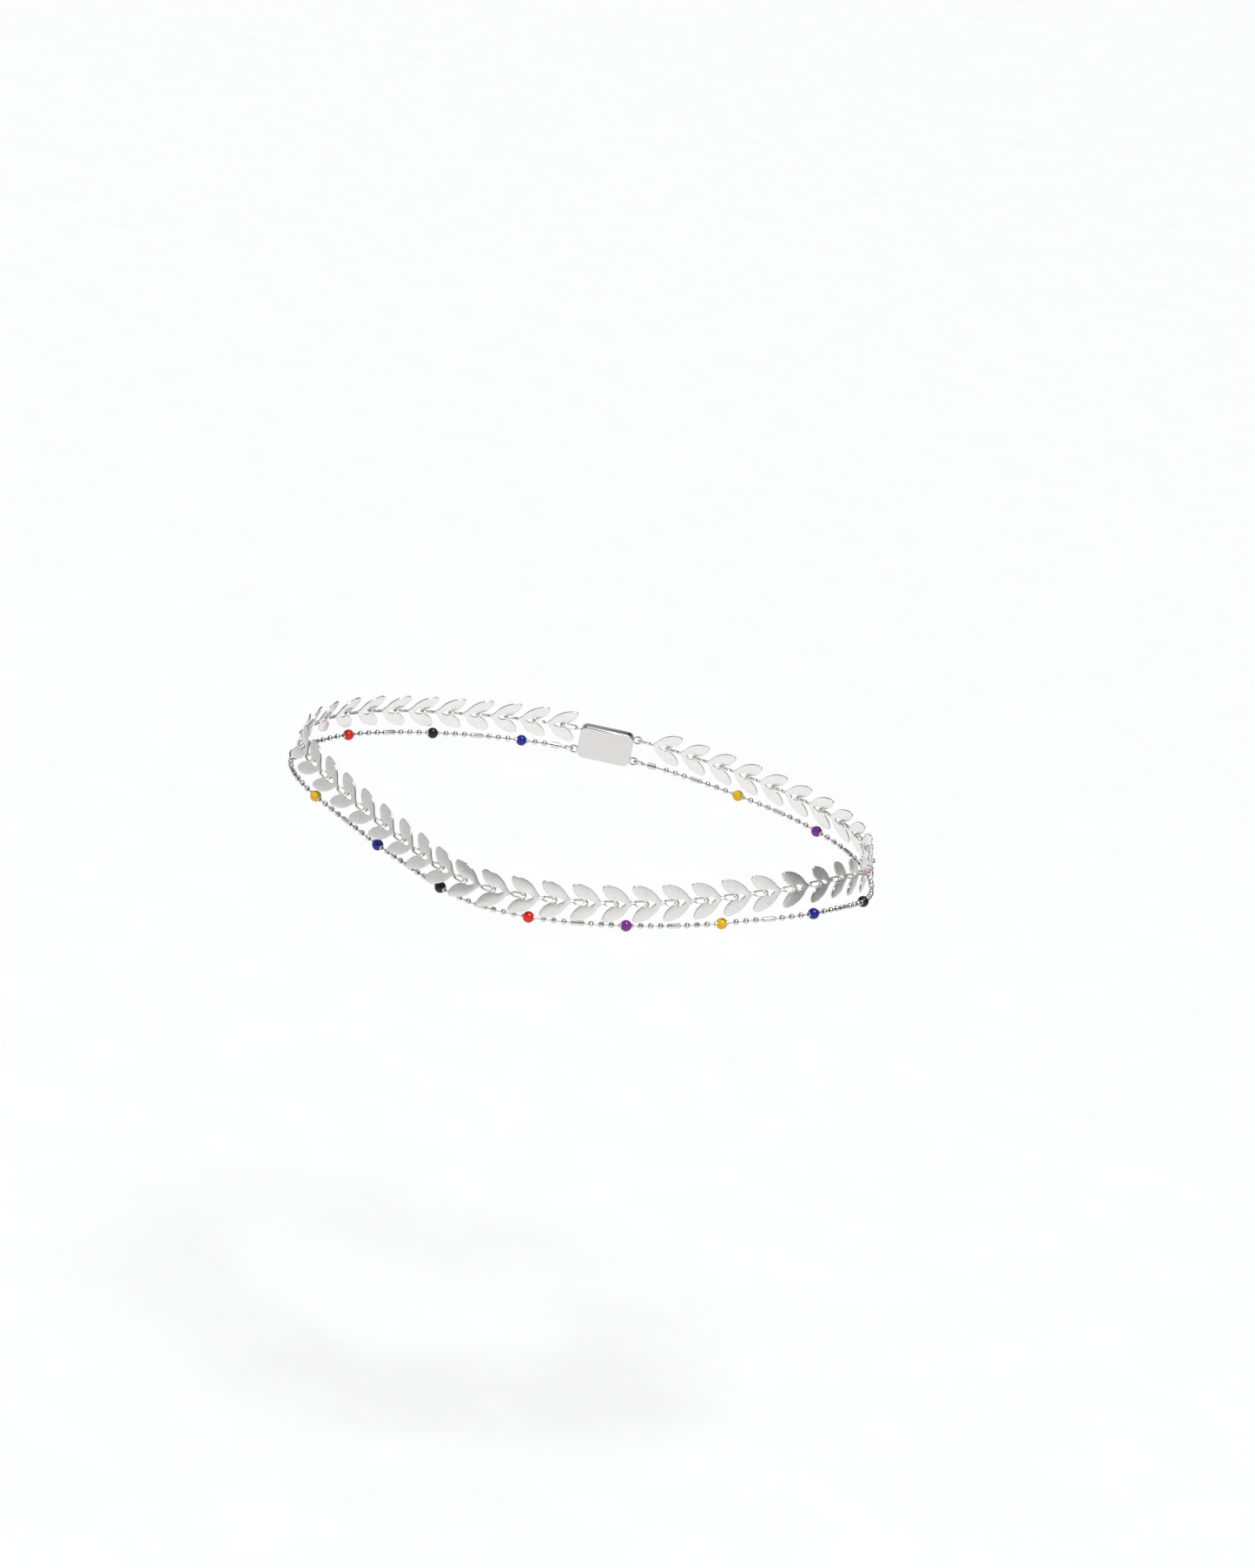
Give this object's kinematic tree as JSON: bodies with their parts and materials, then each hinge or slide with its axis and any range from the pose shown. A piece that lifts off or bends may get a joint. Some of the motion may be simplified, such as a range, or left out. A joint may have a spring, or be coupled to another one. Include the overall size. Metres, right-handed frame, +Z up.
{
  "type": "anklet",
  "caption": "Anklet of a leaf-link chain hung over a string of small balls, bar tubes and coloured enamel beads, both on one plain clasp, closed in a worn oval.",
  "frame": {"origin": "centre of the oval loop, on the ankle's axis, where the ankle passes through", "axes": "+Z up along the ankle, -Y the near side that shows the strands, +X the toes' side, the clasp on the +Y side"},
  "size_m": [0.101, 0.0688, 0.0152],
  "materials": {
    "satin_silver": "silver, satin faces with very fine brushed lines and polished rims",
    "polished_silver": "silver, polished",
    "silver_thread": "fine silver-coloured bead wire",
    "enamel_yellow": "opaque gloss enamel on silver, bare at the end collars",
    "enamel_blue": "opaque gloss enamel on silver, bare at the end collars",
    "enamel_black": "opaque gloss enamel on silver, bare at the end collars",
    "enamel_red": "opaque gloss enamel on silver, bare at the end collars",
    "enamel_purple": "opaque gloss enamel on silver, bare at the end collars"
  },
  "bodies": {
    "root": {"leaf_links": "satin_silver", "silver_balls": "polished_silver", "bead_thread": "silver_thread", "string_ends": "polished_silver", "clasp": "polished_silver", "enamel_bead_1_blue": "enamel_blue", "enamel_bead_2_black": "enamel_black", "enamel_bead_3_red": "enamel_red", "enamel_bead_4_purple": "enamel_purple", "enamel_bead_5_yellow": "enamel_yellow", "enamel_bead_6_blue": "enamel_blue", "enamel_bead_7_black": "enamel_black", "enamel_bead_8_red": "enamel_red", "enamel_bead_9_purple": "enamel_purple", "enamel_bead_10_yellow": "enamel_yellow", "enamel_bead_11_blue": "enamel_blue", "enamel_bead_12_black": "enamel_black", "enamel_bead_13_red": "enamel_red", "enamel_bead_14_purple": "enamel_purple", "enamel_bead_15_yellow": "enamel_yellow", "bar_tube_1": "polished_silver", "bar_tube_2": "polished_silver", "bar_tube_3": "polished_silver", "bar_tube_4": "polished_silver", "bar_tube_5": "polished_silver", "bar_tube_6": "polished_silver", "bar_tube_7": "polished_silver", "bar_tube_8": "polished_silver", "bar_tube_9": "polished_silver", "bar_tube_10": "polished_silver", "bar_tube_11": "polished_silver", "bar_tube_12": "polished_silver", "bar_tube_13": "polished_silver", "bar_tube_14": "polished_silver", "bar_tube_15": "polished_silver"}
  },
  "joints": []
}
